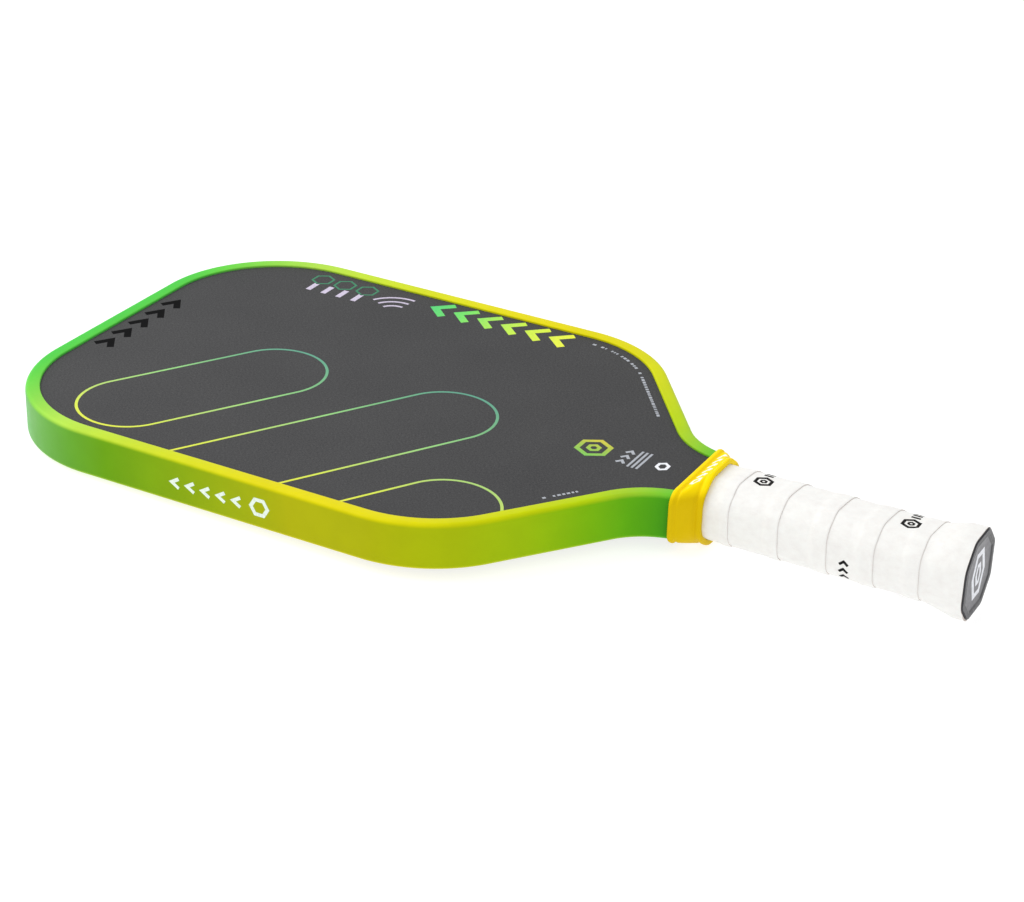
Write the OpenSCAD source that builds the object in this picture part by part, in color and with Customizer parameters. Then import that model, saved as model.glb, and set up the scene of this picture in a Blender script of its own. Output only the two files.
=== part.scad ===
// Pickleball paddle. Origin in the middle of the butt end face, +Y toward the tip, +Z out of the front face.

/* [Blade] */
// Overall length from the butt end face to the tip of the edge guard
length = 406; // [380:1:430]
// Overall width across the edge guard
width = 200; // [180:1:205]
// Radius of the two tip corners
tip_r = 58; // [40:1:70]
// Radius of the two shoulders
shoulder_r = 57; // [40:1:65]
// Width of the neck across the edge guard
neck_w = 44; // [42:1:52]
// Inside radius where the blade runs into the neck
throat_r = 32; // [20:1:40]
// Height above the butt where the side line and the shoulder line would cross
shoulder_y = 186.5; // [180:0.5:195]

/* [Sandwich] */
// Thickness of the core with its fleece, between the two face sheets
core_t = 16; // [13:0.5:16]
// Thickness of each face sheet
face_t = 0.7; // [0.5:0.05:1]
// Thickness of the fleece on each side of the cells
scrim_t = 0.2; // [0.15:0.05:0.3]
// Width of the foam band round the edge of the core
foam_w = 10; // [8:1:14]
// Width of a honeycomb cell across its flats
cell = 8; // [8:1:16]
// Thickness of one honeycomb ribbon
ribbon_t = 0.4; // [0.3:0.05:0.6]

/* [Edge] */
// Width of the edge guard lip on the face
lip_w = 6.2; // [5:0.1:8]
// Height of the lip above the face sheet
lip_t = 1.3; // [0.8:0.1:1.6]
// Thickness of the outer wall of the edge guard
guard_t = 1.6; // [1.2:0.1:2]
// Outer rounding of the edge guard
guard_r = 2; // [1.6:0.1:2.4]
// Thickness of the tape under the edge guard
tape_t = 0.3; // [0.2:0.05:0.4]
// Thickness of the side wall laminate
wall_t = 0.7; // [0.5:0.05:1]

/* [Handle] */
// Width of the handle without its wraps
shaft_w = 28.2; // [27:0.2:30]
// Thickness of the handle without its wraps
shaft_h = 23.7; // [22.5:0.1:26]
// Width of the tongue inside the handle
tongue_w = 17; // [13:0.5:17]
// Thickness of the cushion grip
cushion_t = 1.6; // [1.2:0.1:2]
// Thickness of the outer wrap
wrap_t = 0.8; // [0.6:0.1:1]
// Width of the handle under its wraps at the butt
butt_w = 29.2; // [28.6:0.2:31]
// Thickness of the handle under its wraps at the butt
butt_h = 30.8; // [28:0.2:33]

/* [Butt cap and band] */
// Thickness of the butt cap skirt
skirt_t = 1.2; // [1:0.1:1.4]
// Length of the butt cap
cap_l = 32; // [26:1:36]
// Thickness of the butt cap rim
rim_t = 2; // [1.6:0.1:2.4]
// Thickness of the badge
badge_t = 0.9; // [0.6:0.1:1.1]
// Wall thickness of the neck band
band_t = 1.6; // [1.2:0.1:2]
// How far the beads at the band ends stand out
bead_t = 0.6; // [0.4:0.1:0.8]

/* [Hidden] */
$fn = 96;
// distances in from the outside of the edge guard
in_tape = guard_t;
in_face = guard_t + tape_t;
in_core = in_face + wall_t;
in_cells = in_core + foam_w;
// heights from the middle plane
z_cells = core_t / 2 - scrim_t;
z_core = core_t / 2;
z_face = z_core + face_t;
z_lip = z_face + lip_t;
// stations along the handle
y_band_low = 108;
y_band_mid = 110.5;
y_band_flat = 116.8;
y_band_top = 119.4;
y_guard_end = 116;
y_pallet_top = 113.5;
y_wrap_top = 109.8;
y_wrap_low = 0.6;
y_cells = 128;
y_tongue = rim_t + 0.2;
flare_top = 20;
flare_full = 5;
// half outline of the blade
neck = neck_w / 2;
// the shoulder line falls 3 for every 4 across, so its outward direction is 3, -4 over 5
slope = 3 / 4;
outward = [0.6, -0.8];
turn = atan2(4, 3);
throat_y = shoulder_y - (width / 2 - neck) * slope;
shoulder_c = [width / 2 - shoulder_r, shoulder_y + shoulder_r / 2];
throat_c = [neck + throat_r, throat_y - throat_r / 2];
corner_c = [width / 2 - tip_r, length - tip_r];
// bevels of the handle section
shaft_b = [6.9, 5.3];
butt_b = [7.6, 8.2];
// how far the corners are cut back on the wraps and on the rim of the cap
wrap_ease = 1.7;
rim_ease = 0.9;
big = 500;

// ---------- outline of the blade, drawn in by d ----------

// everything outside an arc, within the wedge from c toward p, q and r
module trim_arc(c, rad, p, q, r) {
    difference() {
        polygon([c, c + p, c + q, c + r]);
        translate(c)
            circle(r = rad);
    }
}

module trim_side(d) {
    trim_arc(corner_c, tip_r - d, [tip_r + 5, 0], [tip_r + 5, tip_r + 5], [0, tip_r + 5]);
    trim_arc(shoulder_c, shoulder_r - d, 100 * outward, [100, -80], [100, 0]);
    translate(throat_c)
        circle(r = throat_r + d);
}

// outline down to the height low, in the neck, with the tongue that runs on into the handle if tongued
module blade(d, low, tongued = false) {
    x = width / 2 - d;
    edge = shoulder_c + (shoulder_r - d) * outward;
    near = throat_c - (throat_r + d) * outward;
    // where the side line and the shoulder line cross after drawing in
    knee = [x, edge.y + (x - edge.x) * slope];
    t = tongue_w / 2;
    foot = tongued ? [[t, low], [t, y_tongue], [-t, y_tongue], [-t, low]] : [];
    difference() {
        polygon(concat([[-x, length - d], [x, length - d], knee, near, [throat_c.x, low]], foot,
                       [[-throat_c.x, low], [-near.x, near.y], [-knee.x, knee.y]]));
        trim_side(d);
        mirror([1, 0])
            trim_side(d);
    }
}

// outline of the head only, closed by a straight line at the height low
module head(d, low) {
    intersection() {
        blade(d, 100);
        translate([-big / 2, low])
            square([big, big]);
    }
}

module slab(low, high) {
    translate([0, 0, low])
        linear_extrude(height = high - low)
            children();
}

// ---------- handle section ----------

// share of the butt flare at height y
function flare(y) =
    y >= flare_top ? 0 :
    y <= flare_full ? 1 :
    (1 - cos(180 * (flare_top - y) / (flare_top - flare_full))) / 2;

// eight corners of a bevelled rectangle grown outward by o
function bevelled(w, h, bx, bz, o) =
    let (phi = atan2(bz, bx),
         a = w / 2 - bx + o * tan(phi / 2),
         b = h / 2 - bz + o * tan((90 - phi) / 2),
         x = w / 2 + o,
         z = h / 2 + o)
    [[a, z], [x, b], [x, -b], [a, -z], [-a, -z], [-x, -b], [-x, b], [-a, z]];

// each corner of pts cut back by c along both of its sides
function eased(pts, c) =
    let (n = len(pts))
    [for (i = [0 : n - 1])
        let (p = pts[i], a = pts[(i + n - 1) % n], b = pts[(i + 1) % n])
        each [p + c * (a - p) / norm(a - p), p + c * (b - p) / norm(b - p)]];

// handle section at height y, o outside the bare handle, its corners cut back by ease
function handle_at(y, o, ease = 0) =
    let (f = flare(y),
         sharp = bevelled(shaft_w + f * (butt_w - shaft_w), shaft_h + f * (butt_h - shaft_h),
                          shaft_b.x + f * (butt_b.x - shaft_b.x), shaft_b.y + f * (butt_b.y - shaft_b.y), o))
    ease > 0 ? eased(sharp, ease) : sharp;

// solid through the handle sections at the heights in ys
module handle_solid(ys, o, ease = 0) {
    n = len(ys);
    m = len(handle_at(0, o, ease));
    pts = [for (y = ys) for (p = handle_at(y, o, ease)) [p.x, y, p.y]];
    sides = [for (k = [0 : n - 2]) for (i = [0 : m - 1])
        let (j = (i + 1) % m)
        [m * k + i, m * k + m + i, m * k + m + j, m * k + j]];
    low_end = [[for (i = [0 : m - 1]) i]];
    high_end = [[for (i = [m - 1 : -1 : 0]) m * (n - 1) + i]];
    polyhedron(points = pts, faces = concat(low_end, sides, high_end));
}

// heights used from y0 to y1, close together over the flare
function stations(y0, y1) =
    concat([y0], [for (y = [flare_full : 3 : flare_top + 1]) if (y > y0 + 0.1 && y < y1 - 0.1) y], [y1]);

module straight_bar(y0, y1, pts) {
    translate([0, y1, 0])
        rotate([90, 0, 0])
            linear_extrude(height = y1 - y0)
                polygon(pts);
}

// ---------- core ----------

cell_side = cell / sqrt(3);
half_wave = 1.5 * cell_side;
ribbon_gap = 0.02;
pitch = cell / 2 + ribbon_t + ribbon_gap;
wave = cell / 4;

// limits of the cell field at distance x from the middle
function top_at(x) =
    x <= corner_c.x ? length - in_cells :
    corner_c.y + sqrt(pow(tip_r - in_cells, 2) - pow(x - corner_c.x, 2));
function low_at(x) =
    let (s = shoulder_c + (shoulder_r - in_cells) * outward,
         t = throat_c - (throat_r + in_cells) * outward)
    x >= s.x ? shoulder_c.y - sqrt(pow(shoulder_r - in_cells, 2) - pow(x - shoulder_c.x, 2)) :
    max(y_cells, t.y + (x - t.x) * (s.y - t.y) / (s.x - t.x));

// one folded ribbon with n flats, the first on the side given by s
module ribbon(x, y, n, s) {
    h = ribbon_t / 2;
    m = h * tan(30);
    right = [for (k = [0 : n - 1])
        let (side = (k % 2 == 0) ? s : -s,
             mid = y + k * half_wave,
             lo = side,
             hi = -side)
        each [if (k > 0) [x + side * wave + h, mid - cell_side / 2 - lo * m],
              if (k < n - 1) [x + side * wave + h, mid + cell_side / 2 - hi * m]]];
    left = [for (k = [0 : n - 1])
        let (side = (k % 2 == 0) ? s : -s,
             mid = y + k * half_wave,
             lo = side,
             hi = -side)
        each [if (k > 0) [x + side * wave - h, mid - cell_side / 2 + lo * m],
              if (k < n - 1) [x + side * wave - h, mid + cell_side / 2 + hi * m]]];
    first = x + s * wave;
    last = x + ((n % 2 == 1) ? s : -s) * wave;
    back = [for (k = [len(left) - 1 : -1 : 0]) left[k]];
    slab(-z_cells, z_cells)
        polygon(concat([[first - h, y], [first + h, y]], right,
                       [[last + h, y + (n - 1) * half_wave], [last - h, y + (n - 1) * half_wave]], back));
}

module core_honeycomb() {
    reach = width / 2 - in_cells - wave - ribbon_t;
    count = floor(reach / pitch);
    color([0.93, 0.94, 0.95])
        for (i = [-count : count]) {
            x = i * pitch;
            far = abs(x) + wave + ribbon_t;
            first = ceil((low_at(far) + 0.5) / half_wave);
            last = floor((top_at(far) - 0.5) / half_wave);
            parity = (abs(i) + first) % 2;
            if (last - first >= 2)
                ribbon(x, first * half_wave, last - first + 1, parity == 0 ? 1 : -1);
        }
}

module core_perimeter_foam() {
    color([0.96, 0.9, 0.72])
        slab(-z_cells, z_cells)
            difference() {
                head(in_core, y_cells - 4);
                head(in_cells, y_cells);
            }
}

module handle_core() {
    color([0.95, 0.93, 0.85])
        slab(-z_cells, z_cells)
            difference() {
                blade(in_core, y_pallet_top, true);
                translate([-big / 2, y_cells - 4])
                    square([big, big]);
            }
}

module scrim_sheet() {
    linear_extrude(height = scrim_t)
        blade(in_core, y_pallet_top, true);
}

module core_scrim_front() {
    color([0.88, 0.88, 0.86])
        translate([0, 0, z_cells])
            scrim_sheet();
}

module core_scrim_rear() {
    color([0.88, 0.88, 0.86])
        translate([0, 0, -z_core])
            scrim_sheet();
}

module face_sheet() {
    linear_extrude(height = face_t)
        blade(in_face, y_pallet_top, true);
}

module front_face_sheet() {
    color([0.3, 0.3, 0.31])
        translate([0, 0, z_core])
            face_sheet();
}

module rear_face_sheet() {
    color([0.3, 0.3, 0.31])
        translate([0, 0, -z_face])
            face_sheet();
}

// ---------- edge ----------

module edge_wall_laminate() {
    color([0.2, 0.2, 0.21])
        slab(-z_core, z_core)
            difference() {
                blade(in_face, y_guard_end);
                blade(in_core, y_guard_end - 1);
            }
}

module edge_guard_tape() {
    color([0.85, 0.86, 0.84])
        slab(-z_face, z_face)
            difference() {
                blade(in_tape, y_guard_end);
                blade(in_face, y_guard_end - 1);
            }
}

// section of the guard, x measured inward from its outside
module guard_section() {
    nose = lip_t * 0.45;
    difference() {
        union() {
            translate([0, guard_r - z_lip])
                square([lip_w, 2 * (z_lip - guard_r)]);
            translate([guard_r, -z_lip])
                square([lip_w - guard_r - nose, 2 * z_lip]);
            translate([lip_w - nose - 0.1, nose - z_lip])
                square([nose + 0.1, 2 * (z_lip - nose)]);
            for (s = [-1, 1]) {
                translate([guard_r, s * (z_lip - guard_r)])
                    circle(r = guard_r);
                translate([lip_w - nose, s * (z_lip - nose)])
                    circle(r = nose);
            }
        }
        translate([guard_t, -z_face])
            square([lip_w, 2 * z_face]);
    }
}

// straight run of guard from a, travelling at angle th with the outside on the left
module guard_run(a, th, l) {
    translate([a.x, a.y, 0])
        rotate([0, 0, th])
            rotate([90, 0, 90])
                linear_extrude(height = l)
                    mirror([1, 0])
                        guard_section();
}

// ring of guard about c, cut to the wedge whose corners are given from c
module guard_bend(c, rad, inside, wedge) {
    intersection() {
        translate([c.x, c.y, 0])
            rotate_extrude()
                translate([rad, 0])
                    mirror([inside ? 0 : 1, 0])
                        guard_section();
        translate([0, 0, -50])
            linear_extrude(height = 100)
                polygon([for (w = wedge) c + w]);
    }
}

module guard_half() {
    shoulder_end = shoulder_c + shoulder_r * outward;
    throat_start = throat_c - throat_r * outward;
    // the throat bend stops at the guard's end, which the neck band covers
    cut = y_guard_end - throat_c.y;
    guard_bend(corner_c, tip_r, false, [[0, 0], [90, 0], [90, 90], [0, 90]]);
    guard_run([width / 2, corner_c.y], -90, corner_c.y - shoulder_c.y);
    guard_bend(shoulder_c, shoulder_r, false, [[0, 0], 100 * outward, [100, -80], [100, 0]]);
    guard_run(shoulder_end, -90 - turn, norm(shoulder_end - throat_start));
    guard_bend(throat_c, throat_r, true, [[-cut * slope, cut], [-100, cut], [-100, 80], -100 * outward]);
}

module edge_guard() {
    color([0.72, 0.85, 0.1])
        union() {
            guard_run([-corner_c.x, length], 0, 2 * corner_c.x);
            guard_half();
            mirror([1, 0, 0])
                guard_half();
        }
}

// ---------- handle ----------

module pallet() {
    difference() {
        union() {
            straight_bar(cap_l, y_pallet_top, handle_at(cap_l + 2, 0));
            straight_bar(rim_t + 0.2, cap_l + 0.1, bevelled(shaft_w, shaft_h, shaft_b.x, shaft_b.y, -skirt_t));
        }
        translate([-tongue_w / 2, 0, -z_face])
            cube([tongue_w, y_pallet_top + 1, 2 * z_face]);
        translate([-50, -1, -50])
            cube([100, 200, 50]);
    }
}

module handle_pallet_front() {
    color([0.9, 0.86, 0.7])
        pallet();
}

module handle_pallet_rear() {
    color([0.9, 0.86, 0.7])
        mirror([0, 0, 1])
            pallet();
}

rim_o = cushion_t - 0.1;
badge_o = rim_o - 2.2;

module butt_cap() {
    color([0.16, 0.16, 0.17])
        difference() {
            union() {
                handle_solid([0.5, rim_t], rim_o, rim_ease);
                handle_solid([0, 0.5], rim_o - 0.4, rim_ease);
                handle_solid(stations(rim_t - 0.5, cap_l), 0);
            }
            straight_bar(rim_t, cap_l + 1, bevelled(shaft_w, shaft_h, shaft_b.x, shaft_b.y, -skirt_t));
            handle_solid([-1, badge_t], badge_o);
        }
}

module butt_badge() {
    color([0.5, 0.5, 0.53])
        handle_solid([0, badge_t], badge_o);
}

module butt_cap_staples() {
    color([0.7, 0.7, 0.72])
        for (s = [-1, 1])
            for (side = [-1, 1])
                mirror([0, 0, side < 0 ? 1 : 0])
                    translate([s * 4.5, cap_l - 5, 0])
                        difference() {
                            translate([-3, -0.3, shaft_h / 2 - 2.6])
                                cube([6, 0.6, 3.2]);
                            translate([-2.4, -1, shaft_h / 2 - 3])
                                cube([4.8, 2, 3]);
                        }
}

module base_grip() {
    color([0.12, 0.12, 0.12])
        difference() {
            handle_solid(stations(rim_t, y_wrap_top - 0.6), cushion_t, wrap_ease);
            handle_solid(stations(rim_t - 1, y_wrap_top), 0);
        }
}

module overgrip() {
    color([0.97, 0.97, 0.96])
        difference() {
            handle_solid(stations(y_wrap_low, y_wrap_top), cushion_t + wrap_t, wrap_ease);
            handle_solid(stations(y_wrap_low - 1, y_wrap_top + 1), cushion_t, wrap_ease);
        }
}

finish_t = 0.2;

module finishing_tape() {
    o = cushion_t + wrap_t;
    color([0.1, 0.1, 0.1])
        difference() {
            straight_bar(y_band_low + 0.6, y_wrap_top, handle_at(50, o + finish_t, wrap_ease));
            straight_bar(y_band_low - 1, y_wrap_top + 1, handle_at(50, o, wrap_ease));
        }
}

// width inside the band at the blade
band_w = neck_w + 3;

// band body: broad and flat at the blade, bevelled at the handle
module band_solid(o, low, high) {
    hull() {
        straight_bar(y_band_flat, high, bevelled(band_w, 2 * z_lip + 0.4, 3, 2, o));
        straight_bar(low, y_band_mid, handle_at(50, cushion_t + wrap_t + finish_t + o, wrap_ease));
    }
}

module neck_band() {
    color([0.99, 0.87, 0.02])
        difference() {
            union() {
                band_solid(band_t, y_band_low, y_band_top);
                straight_bar(y_band_low, y_band_low + 1.8,
                             handle_at(50, cushion_t + wrap_t + finish_t + band_t + bead_t, wrap_ease));
                straight_bar(y_band_top - 1.8, y_band_top,
                             bevelled(band_w, 2 * z_lip + 0.4, 3, 2, band_t + bead_t));
            }
            band_solid(0, y_band_low - 1, y_band_top + 1);
        }
}

core_honeycomb();
core_perimeter_foam();
handle_core();
core_scrim_front();
core_scrim_rear();
front_face_sheet();
rear_face_sheet();
edge_wall_laminate();
edge_guard_tape();
edge_guard();
handle_pallet_front();
handle_pallet_rear();
butt_cap();
butt_cap_staples();
butt_badge();
base_grip();
overgrip();
finishing_tape();
neck_band();
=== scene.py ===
"""Pickleball paddle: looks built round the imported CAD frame. Lengths below are in millimetres unless said."""
import math
import random

import bmesh
import bpy
import numpy as np
from mathutils import Euler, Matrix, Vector, noise


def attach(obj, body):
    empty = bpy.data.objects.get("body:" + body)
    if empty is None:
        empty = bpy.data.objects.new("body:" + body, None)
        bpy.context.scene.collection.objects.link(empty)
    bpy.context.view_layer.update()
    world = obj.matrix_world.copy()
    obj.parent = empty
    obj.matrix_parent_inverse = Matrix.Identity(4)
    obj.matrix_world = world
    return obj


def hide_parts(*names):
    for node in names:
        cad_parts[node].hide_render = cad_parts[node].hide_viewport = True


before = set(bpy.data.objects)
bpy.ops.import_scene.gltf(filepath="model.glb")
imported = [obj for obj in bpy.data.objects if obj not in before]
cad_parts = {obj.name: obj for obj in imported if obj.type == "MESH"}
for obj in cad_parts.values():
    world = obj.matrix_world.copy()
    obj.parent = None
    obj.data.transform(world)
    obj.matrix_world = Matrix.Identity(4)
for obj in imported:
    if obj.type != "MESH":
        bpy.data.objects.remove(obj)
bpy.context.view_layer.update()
MM = 0.001

# ------------------------------------------------------------------ sizes shared with the CAD
LENGTH, WIDTH = 406.0, 200.0
TIP_R, SHOULDER_R, THROAT_R = 58.0, 57.0, 32.0
NECK = 22.0
OUTWARD = (0.6, -0.8)
THROAT_Y = 128.0
CORNER_C = (WIDTH / 2 - TIP_R, LENGTH - TIP_R)
SHOULDER_C = (WIDTH / 2 - SHOULDER_R, 186.5 + SHOULDER_R / 2)
THROAT_C = (NECK + THROAT_R, THROAT_Y - THROAT_R / 2)
GUARD_END = 116.0
LIP_W, LIP_TOP, FACE_TOP, GUARD_T = 6.2, 10.0, 8.7, 1.6
FLARE_TOP, FLARE_FULL = 20.0, 5.0
SHAFT = (28.2, 23.7, 6.9, 5.3)
BUTT = (29.2, 30.8, 7.6, 8.2)
CUSHION_T = 1.6
BAND_LOW, BAND_TOP = 108.0, 119.4


# ------------------------------------------------------------------ small helpers
def lin(r, g, b):
    """A screen colour, 0 to 255, as the linear colour that shaders take."""
    out = []
    for v in (r, g, b):
        v /= 255
        out.append(v / 12.92 if v <= 0.04045 else ((v + 0.055) / 1.055) ** 2.4)
    return (*out, 1.0)


def smoothstep(a, b, v):
    t = min(max((v - a) / (b - a), 0.0), 1.0)
    return t * t * (3 - 2 * t)


def make(name, verts, faces, material, smooth_angle=35.0, body="root"):
    """A mesh piece from millimetre vertices."""
    mesh = bpy.data.meshes.new(name)
    mesh.from_pydata([(x * MM, y * MM, z * MM) for x, y, z in verts], [], faces)
    bm = bmesh.new()
    bm.from_mesh(mesh)
    bmesh.ops.remove_doubles(bm, verts=bm.verts, dist=1e-7)
    bmesh.ops.recalc_face_normals(bm, faces=bm.faces)
    bm.to_mesh(mesh)
    bm.free()
    mesh.materials.append(material)
    for p in mesh.polygons:
        p.use_smooth = True
    mesh.set_sharp_from_angle(angle=math.radians(smooth_angle))
    obj = bpy.data.objects.new(name, mesh)
    bpy.context.scene.collection.objects.link(obj)
    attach(obj, body)
    return obj


# ------------------------------------------------------------------ node helpers
class Graph:
    """A material being built: nodes are made by type and wired by socket name."""

    def __init__(self, name, rough=0.5, color=None, **sockets):
        self.mat = bpy.data.materials.new(name)
        self.mat.use_nodes = True
        self.tree = self.mat.node_tree
        self.bsdf = self.tree.nodes["Principled BSDF"]
        self.bsdf.inputs["Roughness"].default_value = rough
        if color:
            self.bsdf.inputs["Base Color"].default_value = color
        for key, value in sockets.items():
            self.bsdf.inputs[key.replace("_", " ")].default_value = value
        self.coords = self.node("ShaderNodeTexCoord").outputs["Object"]

    def node(self, kind, **props):
        n = self.tree.nodes.new(kind)
        for key, value in props.items():
            setattr(n, key, value)
        return n

    def wire(self, a, b):
        self.tree.links.new(a, b)

    def scaled(self, x, y, z):
        n = self.node("ShaderNodeMapping")
        n.inputs["Scale"].default_value = (x, y, z)
        self.wire(self.coords, n.inputs["Vector"])
        return n.outputs["Vector"]

    def noise(self, scale, detail=4.0, rough=0.6, vector=None):
        n = self.node("ShaderNodeTexNoise")
        n.inputs["Scale"].default_value = scale
        n.inputs["Detail"].default_value = detail
        n.inputs["Roughness"].default_value = rough
        self.wire(vector or self.coords, n.inputs["Vector"])
        return n.outputs["Fac"]

    def ramp(self, fac, stops, interpolation="LINEAR"):
        n = self.node("ShaderNodeValToRGB")
        n.color_ramp.interpolation = interpolation
        while len(n.color_ramp.elements) < len(stops):
            n.color_ramp.elements.new(0.5)
        for e, (pos, col) in zip(n.color_ramp.elements, stops):
            e.position = pos
            e.color = col
        self.wire(fac, n.inputs["Fac"])
        return n.outputs["Color"]

    def mix(self, fac, a, b, blend="MIX"):
        n = self.node("ShaderNodeMix", data_type="RGBA", blend_type=blend)
        for value, socket in ((fac, n.inputs[0]), (a, n.inputs[6]), (b, n.inputs[7])):
            if hasattr(value, "links"):
                self.wire(value, socket)
            else:
                socket.default_value = value
        return n.outputs[2]

    def math(self, op, a, b=None):
        n = self.node("ShaderNodeMath", operation=op)
        for value, socket in ((a, n.inputs[0]), (b, n.inputs[1])):
            if value is None:
                continue
            if hasattr(value, "links"):
                self.wire(value, socket)
            else:
                socket.default_value = value
        return n.outputs[0]

    def span(self, value, lo, hi, to_lo=0.0, to_hi=1.0, smooth=False):
        n = self.node("ShaderNodeMapRange")
        if smooth:
            n.interpolation_type = "SMOOTHSTEP"
        for key, v in (("From Min", lo), ("From Max", hi), ("To Min", to_lo), ("To Max", to_hi)):
            n.inputs[key].default_value = v
        self.wire(value, n.inputs["Value"])
        return n.outputs["Result"]

    def axes(self, vector=None):
        n = self.node("ShaderNodeSeparateXYZ")
        self.wire(vector or self.coords, n.inputs[0])
        return n.outputs

    def bump(self, height, strength, distance, chain=None):
        n = self.node("ShaderNodeBump")
        n.inputs["Strength"].default_value = strength
        n.inputs["Distance"].default_value = distance
        self.wire(height, n.inputs["Height"])
        if chain is not None:
            self.wire(chain, n.inputs["Normal"])
        return n.outputs["Normal"]

    def color(self, socket):
        self.wire(socket, self.bsdf.inputs["Base Color"])

    def roughness(self, socket):
        self.wire(socket, self.bsdf.inputs["Roughness"])

    def normal(self, socket):
        self.wire(socket, self.bsdf.inputs["Normal"])

    def ink_grain(self):
        """The fine grain that ink takes from the surface under it."""
        self.normal(self.bump(self.noise(1500, 2), 0.2, 0.00004))


def guard_material():
    """Satin moulded plastic: green at the tip and the neck, yellow along the sides. The side wall gets a darker
    copy of the lip's colours as painted shade.
    """
    g = Graph("guard_satin", rough=0.36, Specular_IOR_Level=0.06)
    axes = g.axes()
    y, z = axes[1], axes[2]

    def by_height(stops):
        """Colours, 0 to 255, at heights in mm along the paddle."""
        low, high = stops[0][0], stops[-1][0]
        along = g.span(y, low * MM, high * MM)
        return g.ramp(along, [((h - low) / (high - low), lin(*color)) for h, color in stops])

    lip = by_height([
        (116, (84, 184, 50)), (134, (150, 194, 40)), (145, (172, 201, 7)), (160, (188, 201, 2)),
        (193, (208, 202, 2)), (228, (214, 202, 2)), (264, (211, 202, 6)), (300, (198, 204, 22)),
        (336, (179, 207, 50)), (360, (164, 207, 70)), (384, (120, 198, 66)), (396, (90, 193, 62)),
        (406, (60, 186, 68))])
    # the side wall's colours are a darker copy of the lip's gradient: painted shade
    wall = by_height([
        (116, (54, 146, 24)), (134, (94, 172, 12)), (145, (122, 181, 2)), (160, (152, 186, 1)),
        (178, (165, 183, 1)), (211, (168, 172, 2)), (247, (170, 171, 2)), (264, (156, 168, 4)),
        (300, (130, 163, 3)), (336, (102, 157, 8)), (354, (97, 160, 44)), (380, (104, 170, 80)),
        (406, (62, 178, 84))])
    # by height, the lip faces take the lit colours and the wall below them the darker ones: painted shade on
    # the wall
    up = g.math("ABSOLUTE", z)
    top = g.span(up, 0.0080, 0.0097, smooth=True)
    base = g.mix(top, wall, lip)
    mottle = g.ramp(g.noise(55, 3), [(0.35, (0.965, 0.965, 0.965, 1)), (0.65, (1.03, 1.03, 1.03, 1))])
    g.color(g.mix(1.0, base, mottle, "MULTIPLY"))
    g.roughness(g.span(g.noise(240, 3), 0.3, 0.7, 0.32, 0.42))
    fine = g.noise(900, 2)
    slow = g.noise(38, 2)
    g.normal(g.bump(fine, 0.05, 0.00003, g.bump(slow, 0.1, 0.0005)))
    return g.mat


def face_material():
    """Raw carbon laminate with the imprint of a peel cloth."""
    g = Graph("face_carbon", rough=0.7, Specular_IOR_Level=0.28)
    across = g.noise(1.0, 3, 0.7, g.scaled(900, 2600, 1))
    down = g.noise(1.0, 3, 0.7, g.scaled(2600, 900, 1))
    threads = g.math("MULTIPLY", g.math("ADD", across, down), 0.5)
    speck = g.noise(1500, 2, 0.5)
    cloud = g.noise(26, 4, 0.6)
    base = g.ramp(threads, [(0.36, lin(44, 44, 45)), (0.5, lin(56, 56, 57)), (0.66, lin(72, 72, 73))])
    tint = g.ramp(cloud, [(0.3, (0.93, 0.93, 0.935, 1)), (0.7, (1.07, 1.07, 1.065, 1))])
    base = g.mix(1.0, base, tint, "MULTIPLY")
    flecks = g.span(speck, 0.66, 0.74)
    g.color(g.mix(g.math("MULTIPLY", flecks, 0.35), base, lin(104, 104, 106)))
    g.roughness(g.span(threads, 0.3, 0.7, 0.8, 0.62))
    g.normal(g.bump(threads, 0.55, 0.00006, g.bump(speck, 0.3, 0.00005)))
    return g.mat


def gradient_print():
    """Ink that runs from yellow at the -X edge through green to teal past the middle."""
    g = Graph("print_gradient", rough=0.45)
    x = g.axes()[0]
    wear = g.span(g.noise(700, 3), 0.3, 0.75, 1.06, 0.9)
    stops = [(0.0, lin(214, 218, 34)), (0.15, lin(200, 216, 56)), (0.32, lin(166, 200, 96)),
             (0.55, lin(136, 196, 112)), (0.75, lin(104, 170, 112)), (0.9, lin(84, 156, 120)),
             (1.0, lin(72, 146, 122))]
    base = g.ramp(g.span(x, -0.094, 0.016), stops)
    g.color(g.mix(1.0, base, g.ramp(wear, [(0.0, (0, 0, 0, 1)), (1.0, (1, 1, 1, 1))]), "MULTIPLY"))
    g.ink_grain()
    return g.mat


def long_print():
    """Ink of the long row: yellow at the handle end, green toward the tip."""
    g = Graph("print_long_row", rough=0.45)
    y = g.axes()[1]
    base = g.ramp(g.span(y, 0.215, 0.295), [
        (0.0, lin(232, 232, 30)), (0.4, lin(186, 226, 44)),
        (0.75, lin(98, 212, 84)), (1.0, lin(44, 196, 104))])
    shade = g.ramp(g.noise(800, 3), [(0.3, (0.88, 0.88, 0.88, 1)), (0.6, (1, 1, 1, 1))])
    g.color(g.mix(1.0, base, shade, "MULTIPLY"))
    g.ink_grain()
    return g.mat


def hex_print():
    """Ink of the nested hexagons: green on the -X side, yellow on the +X side."""
    g = Graph("print_hexagon", rough=0.45)
    x = g.axes()[0]
    base = g.ramp(g.span(x, -0.008, 0.008), [
        (0.0, lin(112, 190, 70)), (0.5, lin(150, 186, 50)), (1.0, lin(206, 190, 30))])
    shade = g.ramp(g.noise(800, 3), [(0.3, (0.88, 0.88, 0.88, 1)), (0.6, (1, 1, 1, 1))])
    g.color(g.mix(1.0, base, shade, "MULTIPLY"))
    g.ink_grain()
    return g.mat


def flat_ink(name, color, rough=0.5, shine=0.35):
    """One ink with the slight unevenness that a coarse surface gives it."""
    g = Graph(name, rough=rough, Specular_IOR_Level=shine)
    dark = tuple(c * 0.82 for c in color[:3]) + (1.0,)
    g.color(g.ramp(g.noise(900, 3), [(0.32, dark), (0.55, color)]))
    g.ink_grain()
    return g.mat


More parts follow.
